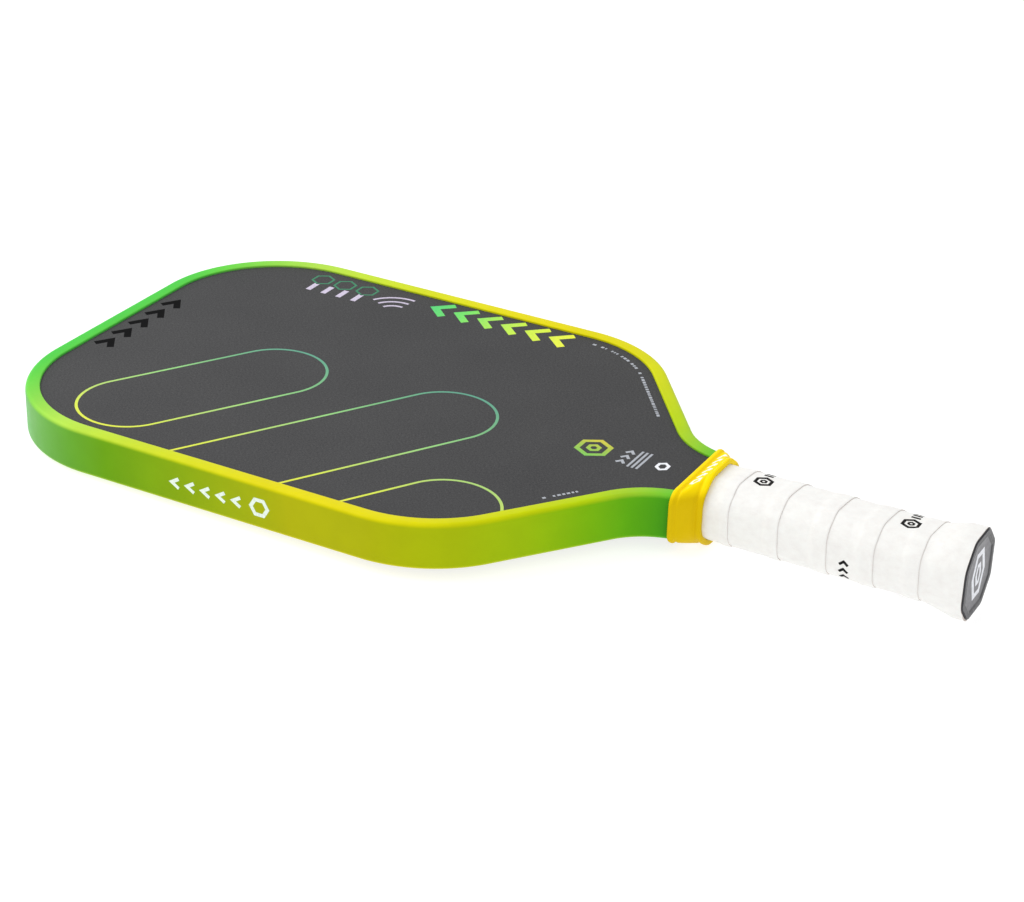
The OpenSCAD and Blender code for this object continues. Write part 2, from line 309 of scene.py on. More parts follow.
def rubber_material():
    """Matte moulded rubber, given a darker copy of its colour on the sides and below than on top, as painted
    shade.
    """
    g = Graph("band_rubber", rough=0.5, Specular_IOR_Level=0.06)
    z = g.axes()[2]
    # lit colour on top and a darker copy below it, chosen by height: painted shade on the sides and underside
    base = g.mix(g.span(z, 0.0085, 0.0125, smooth=True), lin(216, 184, 0), lin(250, 219, 0))
    soft = g.ramp(g.noise(70, 3), [(0.3, (0.96, 0.96, 0.96, 1)), (0.7, (1.02, 1.02, 1.02, 1))])
    g.color(g.mix(1.0, base, soft, "MULTIPLY"))
    g.roughness(g.span(g.noise(500, 3), 0.3, 0.7, 0.42, 0.56))
    g.normal(g.bump(g.noise(2200, 3), 0.15, 0.00005, g.bump(g.noise(60, 2), 0.2, 0.0006)))
    return g.mat


def wrap_material():
    """Thin white polyurethane wrap with a faint felt mottle."""
    g = Graph("wrap_white", rough=0.68, Sheen_Weight=0.25, Sheen_Roughness=0.5, Subsurface_Weight=0.06)
    g.bsdf.inputs["Subsurface Radius"].default_value = (0.0012, 0.001, 0.0009)
    felt = g.noise(1.0, 4, 0.65, g.scaled(300, 240, 300))
    fine = g.noise(1700, 3, 0.7)
    base = g.ramp(felt, [(0.3, lin(230, 228, 225)), (0.5, lin(234, 233, 230)), (0.72, lin(237, 237, 234))])
    g.color(base)
    g.roughness(g.span(felt, 0.3, 0.7, 0.74, 0.6))
    wrinkle = g.noise(1.0, 3, 0.6, g.scaled(60, 190, 60))
    g.normal(g.bump(fine, 0.22, 0.00008, g.bump(felt, 0.28, 0.0002, g.bump(wrinkle, 0.24, 0.0007))))
    return g.mat


def moulded(name, color, rough=0.5, grain=1300, strength=0.25):
    """Moulded plastic with a fine grain."""
    g = Graph(name, rough=rough)
    a = tuple(c * 0.88 for c in color[:3]) + (1.0,)
    g.color(g.ramp(g.noise(160, 4), [(0.35, a), (0.65, color)]))
    g.roughness(g.span(g.noise(grain / 3, 3), 0.3, 0.7, rough - 0.06, rough + 0.08))
    g.normal(g.bump(g.noise(grain, 3), strength, 0.00006))
    return g.mat


def foam(name, color):
    """Cut cellular foam."""
    g = Graph(name, rough=0.85)
    v = g.node("ShaderNodeTexVoronoi")
    v.inputs["Scale"].default_value = 1100
    g.wire(g.coords, v.inputs["Vector"])
    cells = v.outputs["Distance"]
    dark = tuple(c * 0.7 for c in color[:3]) + (1.0,)
    g.color(g.ramp(cells, [(0.1, dark), (0.5, color)]))
    g.normal(g.bump(cells, 0.5, 0.0002))
    return g.mat


def fleece():
    """Non-woven fleece with its fibres along the paddle."""
    g = Graph("scrim_fleece", rough=0.9, Sheen_Weight=0.3)
    fibres = g.noise(1.0, 5, 0.75, g.scaled(2400, 700, 2400))
    g.color(g.ramp(fibres, [(0.35, lin(196, 196, 192)), (0.65, lin(236, 236, 232))]))
    g.normal(g.bump(fibres, 0.5, 0.0001))
    return g.mat


def laminate():
    """Woven carbon laminate as a fine check."""
    g = Graph("wall_laminate", rough=0.35)
    w = g.node("ShaderNodeTexChecker")
    w.inputs["Scale"].default_value = 500
    g.wire(g.coords, w.inputs["Vector"])
    g.color(g.mix(w.outputs["Fac"], lin(38, 38, 40), lin(58, 58, 60)))
    g.normal(g.bump(w.outputs["Fac"], 0.3, 0.0001))
    return g.mat


def steel_wire():
    """Drawn steel wire."""
    g = Graph("staple_steel", rough=0.3, Metallic=1.0)
    g.color(g.ramp(g.noise(900, 3), [(0.3, lin(150, 150, 154)), (0.7, lin(196, 196, 200))]))
    g.roughness(g.span(g.noise(1500, 3), 0.3, 0.7, 0.22, 0.4))
    return g.mat


M_GUARD = guard_material()
M_FACE = face_material()
M_LINES = gradient_print()
M_LONG = long_print()
M_WHITE = flat_ink("print_white", lin(232, 234, 240), 0.5)
M_BLACK = flat_ink("print_black", lin(16, 16, 17), 0.9, 0.05)
M_LILAC = flat_ink("print_lilac", lin(196, 186, 208), 0.5)
M_GHOST = flat_ink("print_green", lin(38, 122, 86), 0.5)
M_GREY = flat_ink("print_pale_grey", lin(168, 172, 180), 0.5)
M_BAND = rubber_material()
M_WRAP = wrap_material()
M_CAP = moulded("cap_plastic", lin(62, 62, 66), 0.42)
M_BADGE = moulded("badge_plastic", lin(92, 91, 96), 0.36, 1800, 0.15)
M_HEX = hex_print()
M_WALL_INK = flat_ink("guard_white_ink", lin(226, 240, 226), 0.4)
# a darker copy of the badge plastic for the badge's chamfer: painted shade in the recess
M_BADGE_RIM_SHADE = moulded("badge_rim_painted_shade", lin(50, 50, 53), 0.34, 1800, 0.15)
M_WHITE_RUBBER = flat_ink("band_white_ink", lin(250, 250, 246), 0.45)
M_WRAP_BLACK = flat_ink("wrap_black_ink", lin(26, 25, 25), 0.8, 0.15)
# a darker colour for the strip's cut edges at the seams: painted shade along each seam
M_WRAP_EDGE_SHADE = flat_ink("wrap_cut_edge_shade", lin(208, 198, 192), 0.9, 0.1)

FLEECE = fleece()
PALLET_SKIN = foam("pallet_skin", lin(228, 218, 186))

# the CAD nodes that stay as they are, most of them out of sight
KEPT_NODES = {
    "core_honeycomb": moulded("honeycomb_plastic", lin(226, 230, 234), 0.45),
    "core_perimeter_foam": foam("edge_foam", lin(240, 228, 190)),
    "handle_core": foam("tongue_foam", lin(240, 234, 214)),
    "core_scrim_front": FLEECE,
    "core_scrim_rear": FLEECE,
    "front_face_sheet": M_FACE,
    "rear_face_sheet": M_FACE,
    "edge_wall_laminate": laminate(),
    "edge_guard_tape": moulded("tape_film", lin(206, 210, 200), 0.3),
    "handle_pallet_front": PALLET_SKIN,
    "handle_pallet_rear": PALLET_SKIN,
    "butt_cap": M_CAP,
    "butt_cap_staples": steel_wire(),
    "base_grip": moulded("cushion_grip", lin(36, 36, 37), 0.7, 700, 0.5),
    "finishing_tape": moulded("vinyl_tape", lin(30, 30, 31), 0.35),
}
for node, material in KEPT_NODES.items():
    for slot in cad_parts[node].material_slots:
        slot.material = material


# ------------------------------------------------------------------ outline of the blade
def arc(cx, cy, r, a0, a1, step=0.8):
    """Points and outward directions from angle a0 to a1, in degrees."""
    n = max(4, int(abs(math.radians(a1 - a0)) * r / step))
    out = []
    for i in range(n + 1):
        a = math.radians(a0 + (a1 - a0) * i / n)
        out.append((cx + r * math.cos(a), cy + r * math.sin(a), math.cos(a), math.sin(a)))
    return out


def straight(p, q, n, step=4.0):
    """Points from p to q with the outward direction n."""
    count = max(2, int(math.dist(p, q) / step))
    dx, dy = q[0] - p[0], q[1] - p[1]
    return [(p[0] + dx * i / count, p[1] + dy * i / count, *n) for i in range(count + 1)]


def right_side(low):
    """The right half of the outline, from the neck up to the middle of the tip."""
    turn = math.degrees(math.atan2(4, 3))
    start = 180 - math.degrees(math.asin((low - THROAT_C[1]) / THROAT_R))
    throat = [(x, y, -nx, -ny) for x, y, nx, ny in arc(*THROAT_C, THROAT_R, start, 180 - turn)]
    shoulder = arc(*SHOULDER_C, SHOULDER_R, -turn, 0)
    tip = arc(*CORNER_C, TIP_R, 0, 90)
    parts = [
        throat,
        straight(throat[-1][:2], shoulder[0][:2], OUTWARD),
        shoulder,
        straight(shoulder[-1][:2], tip[0][:2], (1.0, 0.0)),
        tip,
        straight(tip[-1][:2], (0.0, LENGTH), (0.0, 1.0)),
    ]
    out = []
    for part in parts:
        for p in part:
            if not out or math.dist(p[:2], out[-1][:2]) > 1e-6:
                out.append(p)
    return out


def outline(low=GUARD_END):
    """The whole outline, from the left end of the neck over the tip to the right end."""
    right = right_side(low)
    left = [(-x, y, -nx, ny) for x, y, nx, ny in right]
    return left + right[-2::-1]


def loft(name, loops, material, closed_loop=True, caps=True, closed_path=False, smooth_angle=35.0):
    """A skin over loops of points, which all have the same count."""
    n = len(loops[0])
    verts = [p for loop in loops for p in loop]
    faces = []
    rows = len(loops)
    for i in range(rows if closed_path else rows - 1):
        a, b = i * n, ((i + 1) % rows) * n
        for j in range(n if closed_loop else n - 1):
            k = (j + 1) % n
            faces.append((a + j, a + k, b + k, b + j))
    if caps and not closed_path:
        faces.append(tuple(range(n)))
        faces.append(tuple((rows - 1) * n + j for j in range(n - 1, -1, -1)))
    return make(name, verts, faces, material, smooth_angle)


# ------------------------------------------------------------------ edge guard
def guard_profile():
    """Section of the guard as (inset, height), once round."""
    r, nose = 2.0, 0.6
    top = [(0.0, 0.0), (0.0, 4.0), (0.0, LIP_TOP - r)]
    for i in range(1, 9):
        a = math.pi - i * math.pi / 16
        top.append((r + r * math.cos(a), LIP_TOP - r + r * math.sin(a)))
    top += [(3.2, LIP_TOP - 0.02), (4.4, LIP_TOP - 0.09), (LIP_W - nose, LIP_TOP - 0.22)]
    for i in range(1, 6):
        a = math.pi / 2 - i * math.pi / 10
        top.append((LIP_W - nose + nose * math.cos(a), LIP_TOP - 0.22 - nose + nose * math.sin(a)))
    top += [(LIP_W, FACE_TOP + 0.02), (LIP_W - 0.15, FACE_TOP), (GUARD_T, FACE_TOP)]
    bottom = [(d, -z) for d, z in top[:0:-1]]
    return top + bottom


profile = guard_profile()
guard = loft(
    "guard_moulding",
    [[(x - nx * d, y - ny * d, z) for d, z in profile] for x, y, nx, ny in outline()],
    M_GUARD)
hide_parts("edge_guard")


# ------------------------------------------------------------------ handle sections
def flare(y):
    """Share of the butt's section in the handle's at height y."""
    if y >= FLARE_TOP:
        return 0.0
    if y <= FLARE_FULL:
        return 1.0
    return (1 - math.cos(math.pi * (FLARE_TOP - y) / (FLARE_TOP - FLARE_FULL))) / 2


def bevelled(w, h, bx, bz, o):
    """Eight corners (x, z) of a bevelled rectangle grown outward by o."""
    phi = math.atan2(bz, bx)
    a = w / 2 - bx + o * math.tan(phi / 2)
    b = h / 2 - bz + o * math.tan((math.pi / 2 - phi) / 2)
    x, z = w / 2 + o, h / 2 + o
    return [(a, z), (x, b), (x, -b), (a, -z), (-a, -z), (-x, -b), (-x, b), (-a, z)]


EDGE_STEPS, ARC_STEPS = 7, 5


def rounded(w, h, bx, bz, o, r):
    """A closed ring (x, z, nx, nz) round the bevelled rectangle, its corners rounded to r.
    It starts at the middle of the top and goes by the right; the count never changes."""
    c = bevelled(w, h, bx, bz, o - r)
    ring = []
    for i in range(8):
        p, q = c[i - 1], c[i]
        s = c[(i + 1) % 8]
        n0 = math.atan2(q[0] - p[0], -(q[1] - p[1])) if i else math.pi / 2
        n1 = math.atan2(s[0] - q[0], -(s[1] - q[1]))
        n0, n1 = math.atan2(math.sin(n0), math.cos(n0)), math.atan2(math.sin(n1), math.cos(n1))
        while n1 > n0:
            n1 -= 2 * math.pi
        for k in range(ARC_STEPS + 1):
            a = n0 + (n1 - n0) * k / ARC_STEPS
            ring.append((q[0] + r * math.cos(a), q[1] + r * math.sin(a), math.cos(a), math.sin(a)))
        nx, nz = math.cos(n1), math.sin(n1)
        for k in range(1, EDGE_STEPS):
            t = k / EDGE_STEPS
            ring.append((q[0] + (s[0] - q[0]) * t + r * nx, q[1] + (s[1] - q[1]) * t + r * nz, nx, nz))
    mid = len(ring) - (EDGE_STEPS - 1) + (EDGE_STEPS - 1) // 2
    return ring[mid:] + ring[:mid]


def handle_ring(y, o, r=8.0):
    """The handle's rounded section at height y, o outside the bare handle."""
    f = flare(y)
    w, h, bx, bz = (a + f * (b - a) for a, b in zip(SHAFT, BUTT))
    return rounded(w, h, bx, bz, o, r + 0.4 * f)


# ------------------------------------------------------------------ overgrip
STRIP_W, STRIP_T = 25.0, 0.42
STRIP_LOW, STRIP_HIGH = 0.7, 109.5
SEAMS = (-19.0, -0.5, 18.6, 37.0, 56.2, 76.6, 97.6, 118.5)
TURNS = len(SEAMS) - 1
GRIP_BASE = 2.0
RING = len(handle_ring(50, GRIP_BASE))
ring_store = {}


def stored_ring(step):
    if step not in ring_store:
        ring_store[step] = handle_ring(step / 2, GRIP_BASE)
    return ring_store[step]


def grip_point(y, j, o):
    """The point at height y in column j of the handle, o outside the bare handle."""
    low = min(max(y, 0.0), FLARE_TOP) * 2
    a, b = stored_ring(int(low)), stored_ring(int(low) + 1)
    t = low - int(low)
    x, z, nx, nz = (p + (q - p) * t for p, q in zip(a[j % RING], b[j % RING]))
    return (x + nx * (o - GRIP_BASE), y, z + nz * (o - GRIP_BASE))


def off_corner(j):
    """Angle between column j and the lower corner on the near side, seen along the handle."""
    x, z, _, _ = stored_ring(100)[j]
    return abs(math.atan2(z, x) + 0.75 * math.pi)


START = min(range(RING), key=off_corner)
RISE_FROM, RISE_TO = -0.08, 0.68


def advance(f):
    """Share of the pitch gained after the share f of a turn, which starts at column START."""
    s0 = smoothstep(RISE_FROM, RISE_TO, 0.0)
    return (smoothstep(RISE_FROM, RISE_TO, f) - s0) / (1 - s0)


def lower_edge(turn, f):
    """Height of the strip's lower edge."""
    droop = -0.7 * (1 - smoothstep(0.0, 0.15, f)) - 0.7 * smoothstep(0.78, 1.0, f)
    return SEAMS[turn] + (SEAMS[turn + 1] - SEAMS[turn]) * advance(f) + droop


def strip_top(turn, f, v):
    """Offset of the strip's outer surface, v above its lower edge: it rides up over the turn before."""
    base = CUSHION_T + 0.06 + STRIP_T
    if turn == 0:
        return base
    lap = lower_edge(turn - 1, f) + STRIP_W - lower_edge(turn, f)
    return base + STRIP_T * (1 - smoothstep(lap - 0.6, lap + 2.4, v)) - 0.16 * (1 - smoothstep(0.0, 0.35, v))


def ripple(y, j):
    """Small hollows and swells of the padded wrap."""
    a = 2 * math.pi * j / RING
    p = Vector((math.cos(a) * 1.6, math.sin(a) * 1.6, y * 0.055))
    q = Vector((math.cos(a) * 4.5, math.sin(a) * 4.5, y * 0.21))
    return 0.09 * noise.noise(p) + 0.05 * noise.noise(q)


def grip_top(y, j):
    """Outer offset of the finished wrap at height y in column j."""
    f = ((START - j) % RING) / RING
    turn = max(t for t in range(TURNS) if t == 0 or lower_edge(t, f) <= y)
    return strip_top(turn, f, y - lower_edge(turn, f)) + ripple(y, j)


ACROSS = [0.0, 0.006, 0.015, 0.03, 0.06, 0.1, 0.14, 0.18, 0.215, 0.25, 0.285, 0.32, 0.38,
          0.45, 0.53, 0.61, 0.69, 0.77, 0.85, 0.92, 0.97, 0.99, 1.0]
LEAST_WIDTH = 0.4
strip_loops = []
for i in range(TURNS * RING + 1):
    turn = min(i // RING, TURNS - 1)
    f = (i - turn * RING) / RING
    y0 = lower_edge(turn, f)
    v0, v1 = max(0.0, STRIP_LOW - y0), min(STRIP_W, STRIP_HIGH - y0)
    if v1 - v0 < LEAST_WIDTH:
        continue
    j = START - i
    vs = [v0 + (v1 - v0) * a for a in ACROSS]
    tops = [strip_top(turn, f, v) + ripple(y0 + v, j) for v in vs]
    outer = [grip_point(y0 + v, j, top) for v, top in zip(vs, tops)]
    inner = [grip_point(y0 + v, j, top - STRIP_T + 0.03) for v, top in zip(vs, tops)]
    loop = outer + inner[::-1]
    strip_loops.append(loop)
overgrip = loft("overgrip_strip", strip_loops, M_WRAP, smooth_angle=50)
overgrip.data.materials.append(M_WRAP_EDGE_SHADE)
# the small faces of the cut edges, facing the butt, take the darker colour: painted shade along the seams
for p in overgrip.data.polygons:
    if p.area < 0.9 * MM * MM and p.normal.y < -0.6:
        p.material_index = 1
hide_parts("overgrip")


# ------------------------------------------------------------------ neck band
def band_ring(t, o):
    """The band's section, from the handle at t = 0 to the blade at t = 1, o further out."""
    handle = rounded(*SHAFT, 3.9, 9.8)
    blade = rounded(46.2, 20.0, 2.6, 2.0, 1.35, 5.2)
    out = []
    for a, b in zip(handle, blade):
        x, z, nx, nz = (p + (q - p) * t for p, q in zip(a, b))
        n = math.hypot(nx, nz)
        out.append((x + nx / n * o, z + nz / n * o, nx / n))
    return out


def band_profile():
    """Outer profile as (height, offset), with a bead at each end and a hollow beside it."""
    out = []
    for k in range(53):
        y = BAND_LOW + (BAND_TOP - BAND_LOW) * k / 52
        low, high = y - BAND_LOW, BAND_TOP - y
        bead = 0.0
        for d, wide, tall in ((low, 2.0, 0.55), (high, 2.0, 0.6)):
            if d < wide:
                bead = tall * math.sqrt(max(0.0, 1 - ((d - wide / 2) / (wide / 2)) ** 2)) ** 0.8
            elif d < wide + 1.6:
                bead = -0.3 * math.sin(math.pi * (d - wide) / 1.6) ** 2
        out.append((y, bead))
    return out


def band_loop(y, o, ridge=0.0):
    """The band's ring at height y, with a fine mould ridge on both sides."""
    t = smoothstep(BAND_LOW + 0.6, BAND_TOP - 2.0, y)
    loop = []
    for x, z, nx in band_ring(t, o):
        add = ridge * math.exp(-(z / 0.3) ** 2) * (1 if nx > 0 else -1) if abs(nx) > 0.9 else 0.0
        loop.append((x + add, y, z))
    return loop


RIDGE = 0.16
band_rows = [band_loop(y, o, RIDGE if y - BAND_LOW > 3 and BAND_TOP - y > 2.6 else 0.0)
             for y, o in band_profile()]
band_rows += [band_loop(y, -1.1 - 0.65 * (1 - smoothstep(BAND_LOW, 110.5, y)))
              for y in np.linspace(BAND_TOP - 0.25, BAND_LOW + 0.25, 18)]
band = loft("neck_band_sleeve", band_rows, M_BAND, closed_path=True, smooth_angle=60)
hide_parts("neck_band")


# ------------------------------------------------------------------ prints: thin strokes laid on a surface
def resample(points, closed, step):
    pts = points + points[:1] if closed else points
    out = []
    for p, q in zip(pts, pts[1:]):
        n = max(1, math.ceil(math.dist(p, q) / step))
        out += [(p[0] + (q[0] - p[0]) * k / n, p[1] + (q[1] - p[1]) * k / n) for k in range(n)]
    return out if closed else out + [pts[-1]]


def stroke_sides(points, width, closed):
    """Left and right edges of a stroke, with mitred bends."""
    left, right = [], []
    n = len(points)
    for i, p in enumerate(points):
        a = points[i - 1] if i or closed else None
        b = points[(i + 1) % n] if i < n - 1 or closed else None
        dirs = []
        for u, v in ((a, p), (p, b)):
            if u is not None and v is not None and math.dist(u, v) > 1e-9:
                d = math.dist(u, v)
                dirs.append(((v[0] - u[0]) / d, (v[1] - u[1]) / d))
        d0, d1 = dirs[0], dirs[-1]
        mx, my = -(d0[1] + d1[1]), d0[0] + d1[0]
        m = max(math.hypot(mx, my), 1e-6)
        mx, my = mx / m, my / m
        half = width / 2 / max(0.3, mx * -d0[1] + my * d0[0])
        left.append((p[0] + mx * half, p[1] + my * half))
        right.append((p[0] - mx * half, p[1] - my * half))
    return left, right


def finer(left, right, closed, step):
    """Both edges of a stroke cut into the same number of short pieces."""
    out_l, out_r = [], []
    n = len(left)
    for i in range(n if closed else n - 1):
        k = (i + 1) % n
        m = max(1, math.ceil(max(math.dist(left[i], left[k]), math.dist(right[i], right[k])) / step))
        for j in range(m):
            t = j / m
            out_l.append(tuple(p + (q - p) * t for p, q in zip(left[i], left[k])))
            out_r.append(tuple(p + (q - p) * t for p, q in zip(right[i], right[k])))
    if not closed:
        out_l.append(left[-1])
        out_r.append(right[-1])
    return out_l, out_r


def print_strokes(name, strokes, lift, material, step=1.2, low=-0.02, high=0.03):
    """One piece made of strokes (points, width, closed), carried to a surface by lift(a, b, height)."""
    verts, faces = [], []
    ring = 6
    for points, width, closed in strokes:
        left, right = stroke_sides(points, width, closed)
        left, right = finer(left, right, closed, step)
        first = len(verts)
        for l, r in zip(left, right):
            across = [tuple(p + (q - p) * t for p, q in zip(l, r)) for t in (0, 0.33, 0.67, 1)]
            verts += [lift(*p, high) for p in across] + [lift(*r, low), lift(*l, low)]
        n = len(left)
        for i in range(n if closed else n - 1):
            a, b = first + ring * i, first + ring * ((i + 1) % n)
            faces += [(a + k, a + (k + 1) % ring, b + (k + 1) % ring, b + k) for k in range(ring)]
        if not closed:
            last = first + ring * (n - 1)
            faces += [tuple(range(first, first + ring)), tuple(range(last + ring - 1, last - 1, -1))]
    return make(name, verts, faces, material, 30)


def hexagon(cx, cy, rx, ry):
    return [(cx + rx * math.cos(math.pi * k / 3), cy + ry * math.sin(math.pi * k / 3)) for k in range(6)]


def chevrons(at, along, across, n, pitch, length, height, width):
    """Chevrons in a row from at, which point along; height is their size across."""
    out = []
    for k in range(n):
        c = (at[0] + along[0] * pitch * k, at[1] + along[1] * pitch * k)
        tip = (c[0] + along[0] * length, c[1] + along[1] * length)
        out.append(([(c[0] + across[0] * height / 2, c[1] + across[1] * height / 2), tip,
                     (c[0] - across[0] * height / 2, c[1] - across[1] * height / 2)], width, False))
    return out


def on_face(side):
    """Lift onto the front face (side 1) or the rear one (side -1)."""
    return lambda a, b, h: (side * a, b, side * (FACE_TOP + h))


ALONG, NORMAL = (0.86, -0.51), (0.51, 0.86)
BAR_R = 22.5


def bar_point(offset, x):
    """The point at x on the line that runs along the bars at this offset."""
    return (x, (offset - NORMAL[0] * x) / NORMAL[1])


def bar_arc(centre, a0, a1, r=BAR_R):
    """Arc of a bar's end; the angles are measured from the bars' own direction."""
    lean = math.degrees(math.atan2(ALONG[1], ALONG[0]))
    return [(x, y) for x, y, _, _ in arc(*centre, r, a0 + lean, a1 + lean, 1.0)]


def inside_lip(p, margin=LIP_W + 0.25):
    """Whether a point is on the open face, by its distance from the outline."""
    x, y = abs(p[0]), p[1]
    if x > CORNER_C[0] and y > CORNER_C[1]:
        return math.dist((x, y), CORNER_C) < TIP_R - margin
    on_arc = (x - SHOULDER_C[0]) * -OUTWARD[1] + (y - SHOULDER_C[1]) * OUTWARD[0] > 0
    if x > SHOULDER_C[0] and y < SHOULDER_C[1] and on_arc:
        return math.dist((x, y), SHOULDER_C) < SHOULDER_R - margin
    if y < SHOULDER_C[1]:
        line = OUTWARD[0] * (x - SHOULDER_C[0]) + OUTWARD[1] * (y - SHOULDER_C[1])
        return line < SHOULDER_R - margin
    return x < WIDTH / 2 - margin and y < LENGTH - margin


def clipped(points):
    """The runs of a path that lie on the open face."""
    runs, run = [], []
    for p in resample(points, False, 0.5):
        if inside_lip(p):
            run.append(p)
        elif run:
            runs.append(run)
            run = []
    runs.append(run)
    return [r for r in runs if len(r) > 2]


def line_art():
    """Three long bars with round ends, drawn in outline; they run off under the lip."""
    out = []
    for low, far_x, near_x in ((242.7, 13.0, -66.0), (172.7, 15.0, None), (103.4, -53.0, None)):
        mid = low + BAR_R
        far = bar_point(mid, far_x - BAR_R)
        end = bar_arc(far, 90, -90)
        if near_x is None:
            back = (far[0] - 120 * ALONG[0], far[1] - 120 * ALONG[1])
            path = [(back[0] + NORMAL[0] * BAR_R, back[1] + NORMAL[1] * BAR_R), *end,
                    (back[0] - NORMAL[0] * BAR_R, back[1] - NORMAL[1] * BAR_R)]
            out += [(run, 1.25, False) for run in clipped(path)]
        else:
            near = bar_point(mid, near_x)
            out.append((end + bar_arc(near, 270, 90), 1.25, True))
    return out


def tiny_marks(points, width, rng):
    """Small dashes of uneven length along a path, like fine print that can't be read."""
    path = resample(points, False, 0.25)
    out, i = [], 0
    while i < len(path) - 12:
        n = rng.randint(3, 8)
        if rng.random() < 0.84:
            out.append(([path[i], path[min(i + n, len(path) - 1)]], width, False))
        i += n + rng.randint(3, 4)
    return out


def face_prints(side, tag):
    """All prints of one face; every mark is plain geometry."""
    lift = on_face(side)
    rng = random.Random(7)
    print_strokes("bar_outline_" + tag, line_art(), lift, M_LINES)
    row = chevrons((85.0, 222.0), (0, 1), (1, 0), 6, 12.2, 7.0, 13.0, 3.6)
    print_strokes("long_row_" + tag, row, lift, M_LONG)
    lilac = [([p[:2] for p in arc(70, 304, r, -8, 62, 0.7)], 1.3, False) for r in (7.5, 12.0, 16.5)]
    lilac += [([(71.5, y), (79.5, y)], 2.6, False) for y in (326, 334, 342, 350)]
    print_strokes("lilac_marks_" + tag, lilac, lift, M_LILAC)
    ghost = [(hexagon(84.5, y, 5.2, 5.0), 1.0, True) for y in (326, 338, 350)]
    print_strokes("hexagon_row_" + tag, ghost, lift, M_GHOST)
    tone = chevrons((-27, 392), (1, 0), (0, 1), 5, 12.2, 6.2, 8.2, 3.1)
    print_strokes("tip_row_" + tag, tone, lift, M_BLACK)
    edge = [(x - nx * 11.2, y - ny * 11.2) for x, y, nx, ny in right_side(GUARD_END)]
    far = [p for p in edge if 152 < p[1] < 214]
    near = [(-x, y) for x, y in edge if 150 < y < 166]
    small = tiny_marks(far, 1.3, rng) + tiny_marks(near, 1.2, rng)
    small += [([(-7.5, y), (7.5, y)], 1.0, False) for y in (142.2, 144.2, 146.2)]
    small += chevrons((-6, 150.3), (1, 0), (0, 1), 3, 4.6, 2.2, 3.6, 1.3)
    print_strokes("white_marks_" + tag, small, lift, M_GREY)
    small_hexagon = [(hexagon(0, 134, 3.0, 2.4), 1.3, True)]
    print_strokes("pale_hexagon_" + tag, small_hexagon, lift, M_WHITE)
    badge = [(hexagon(0, 165, 7.0, 7.0), 2.0, True), (hexagon(0, 165, 2.4, 2.4), 1.6, True)]
    print_strokes("hexagon_mark_" + tag, badge, lift, M_HEX)


face_prints(1, "front")
face_prints(-1, "rear")


def on_wall(side):
    """The guard's side wall: a runs toward the tip and b upward."""
    return lambda a, b, h: (side * (WIDTH / 2 + h), a, b)


for side, tag in ((-1, "near"), (1, "far")):
    marks = [(hexagon(260.5, -0.3, 3.9, 3.7), 1.6, True)]
    marks += chevrons((269.5, -0.6), (1, 0), (0, 1), 5, 7.4, 3.4, 4.2, 1.5)
    print_strokes("guard_marks_" + tag, marks, on_wall(side), M_WALL_INK, 0.6)


def surface_height(loop_at, side):
    """Height finder over a ring of columns: the outer z at (x, y) on the top or bottom."""
    def find(x, y):
        pts = loop_at(y)
        best = None
        for (xa, _, za), (xb, _, zb) in zip(pts, pts[1:] + pts[:1]):
            if za * side > 0 and zb * side > 0 and min(xa, xb) <= x <= max(xa, xb) and abs(xb - xa) > 1e-6:
                z = za + (zb - za) * (x - xa) / (xb - xa)
                best = z if best is None or z * side > best * side else best
        return best
    return find


def on_rings(loop_at, side):
    """Lift onto the top or bottom of a piece that is made of rings."""
    find = surface_height(loop_at, side)
    return lambda a, b, h: (a, b, find(a, b) + side * h)


band_outer = {}
grip_outer = {}


def band_surface(y):
    """The band's outer ring at height y, kept once made."""
    key = round(y, 2)
    if key not in band_outer:
        profile_y = band_profile()
        o = float(np.interp(y, [p[0] for p in profile_y], [p[1] for p in profile_y]))
        band_outer[key] = band_loop(y, o)
    return band_outer[key]


def grip_surface(y):
    """The wrap's outer ring at height y, kept once made."""
    key = round(y, 2)
    if key not in grip_outer:
        grip_outer[key] = [grip_point(y, j, grip_top(y, j)) for j in range(RING)]
    return grip_outer[key]


for side, tag in ((1, "front"), (-1, "rear")):
    lift = on_rings(band_surface, side)
    marks = [(hexagon(-11.0, 114.3, 2.3, 1.9), 1.1, True)]
    marks += chevrons((-6.6, 114.0), (1, 0), (0, 1), 5, 4.8, 2.2, 3.8, 1.4)
    print_strokes("band_marks_" + tag, marks, lift, M_WHITE_RUBBER, 0.35, -0.15, 0.12)
    lift = on_rings(grip_surface, side)
    marks = []
    for cx, cy in ((0.5, 90.5), (-1.0, 28.5)):
        marks += [(hexagon(cx, cy, 3.2, 3.5), 1.3, True), (hexagon(cx, cy, 1.05, 1.15), 0.9, True)]
        marks += [([(cx + dx, cy - 1.9), (cx + dx, cy + 1.9)], 1.1, False) for dx in (5.3, 7.3, 9.3)]
    print_strokes("grip_marks_" + tag, marks, lift, M_WRAP_BLACK, 0.5, -0.06, 0.05)


def side_surface(a, b, h):
    """The handle's near side: a is the height along it and b is z."""
    pts = grip_surface(a)
    for (xa, _, za), (xb, _, zb) in zip(pts, pts[1:] + pts[:1]):
        if xa < 0 and xb < 0 and min(za, zb) <= b <= max(za, zb) and abs(zb - za) > 1e-6:
            return (xa + (xb - xa) * (b - za) / (zb - za) - h, a, b)
    raise ValueError("no handle side there")


side_marks = chevrons((48.5, -9.5), (0, 1), (1, 0), 3, 3.3, 1.5, 3.6, 1.1)
print_strokes("grip_marks_side", side_marks, side_surface, M_WRAP_BLACK, 0.5, -0.06, 0.05)


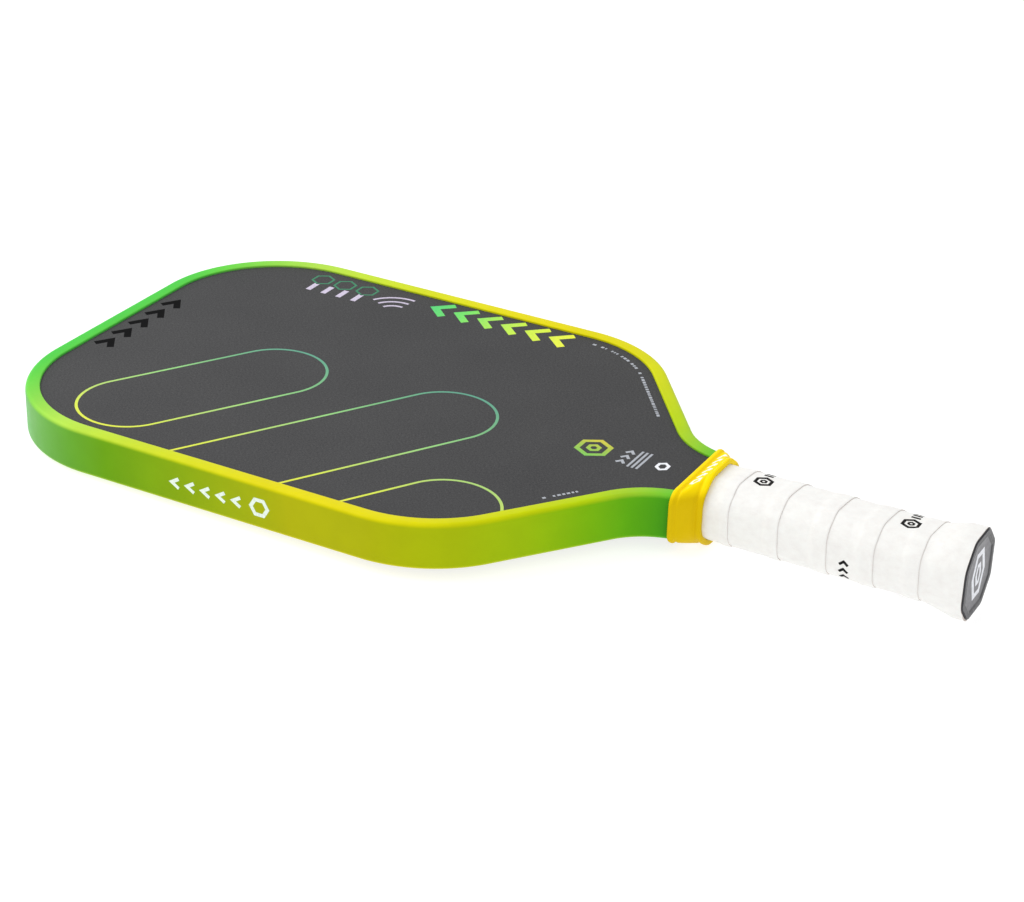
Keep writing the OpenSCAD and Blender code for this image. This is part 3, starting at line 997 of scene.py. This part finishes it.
# ------------------------------------------------------------------ badge
# section of the badge's edge as (distance from the butt end, offset from the cap's section), inside to plate
CHAMFER = ((0.9, -0.72), (0.12, -0.72), (0.0, -0.85), (0.0, -1.15), (0.06, -1.3), (0.42, -1.85), (0.45, -2.0))
PLATE_Y = 0.45
badge_rows = [[(x, y, z) for x, z, _, _ in rounded(*BUTT, o, 1.0)] for y, o in CHAMFER]
inner_ring = badge_rows[-1]
for shrink in (0.7, 0.35):
    badge_rows.append([(x * shrink, PLATE_Y, z * shrink) for x, _, z in inner_ring])
# the chamfer round the plate takes the darker copy as painted shade of the recess wall; the flat plate takes
# the badge plastic
badge = loft("butt_badge_plate", badge_rows, M_BADGE_RIM_SHADE, smooth_angle=30)
badge.data.materials.append(M_BADGE)
for p in badge.data.polygons:
    if p.normal.y < -0.98 and abs(p.center.y - PLATE_Y * MM) < 0.02 * MM:
        p.material_index = 1
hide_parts("butt_badge")
badge_marks = [(hexagon(0, 0, 6.2, 10.2), 2.3, True), (hexagon(0, 0, 2.2, 4.4), 1.7, True)]
print_strokes("badge_mark", badge_marks, lambda a, b, h: (a, PLATE_Y - h, b), M_WHITE)


# ------------------------------------------------------------------ camera, light, floor
camera = bpy.data.cameras.new("camera")
camera.lens = 87.119
camera.sensor_width = 36.0
camera.clip_start, camera.clip_end = 0.01, 50.0
camera_obj = bpy.data.objects.new("camera", camera)
camera_obj.location = (-0.80323, -0.22908, 0.46697)
camera_obj.rotation_euler = Euler([math.radians(a) for a in (62.7167, -1.5719, -60.9336)], "XYZ")
bpy.context.scene.collection.objects.link(camera_obj)
bpy.context.scene.camera = camera_obj
bpy.context.scene.view_settings.view_transform = "Standard"

floor_mesh = bpy.data.meshes.new("floor")
# the paddle lies on the band's lower side and on the edge of its tip
BAND_FOOT, TIP_FOOT = (109.0, -16.3), (404.0, -LIP_TOP)
floor_slope = (TIP_FOOT[1] - BAND_FOOT[1]) / (TIP_FOOT[0] - BAND_FOOT[0])
floor_size = 6000.0
floor_mid = TIP_FOOT[1] - (TIP_FOOT[0] - 200) * floor_slope - 0.1
floor_mesh.from_pydata(
    [(sx * floor_size * MM, (200 + sy * floor_size) * MM, (floor_mid + sy * floor_size * floor_slope) * MM)
     for sx, sy in ((-1, -1), (1, -1), (1, 1), (-1, 1))], [], [(0, 1, 2, 3)])
floor = bpy.data.objects.new("floor", floor_mesh)
bpy.context.scene.collection.objects.link(floor)
floor_paint = Graph("floor_white", rough=0.9, color=(0.35, 0.35, 0.35, 1),
                    Emission_Color=(1, 1, 1, 1), Emission_Strength=0.78)
floor_mesh.materials.append(floor_paint.mat)

world = bpy.data.worlds.new("studio")
world.use_nodes = True
world.node_tree.nodes["Background"].inputs["Color"].default_value = (1, 1, 1, 1)
world.node_tree.nodes["Background"].inputs["Strength"].default_value = 0.85
bpy.context.scene.world = world


def softbox(name, location, target, size, watts):
    """A rectangular area light aimed at a target; places and sizes in metres."""
    light = bpy.data.lights.new(name, "AREA")
    light.shape = "RECTANGLE"
    light.size, light.size_y = size
    light.energy = watts
    obj = bpy.data.objects.new(name, light)
    obj.location = location
    direction = np.array(target) - np.array(location)
    obj.rotation_euler = Vector(direction).to_track_quat("-Z", "Y").to_euler()
    bpy.context.scene.collection.objects.link(obj)


softbox("key", (-0.15, 0.85, 0.75), (0, 0.3, 0), (0.9, 0.9), 6.5)
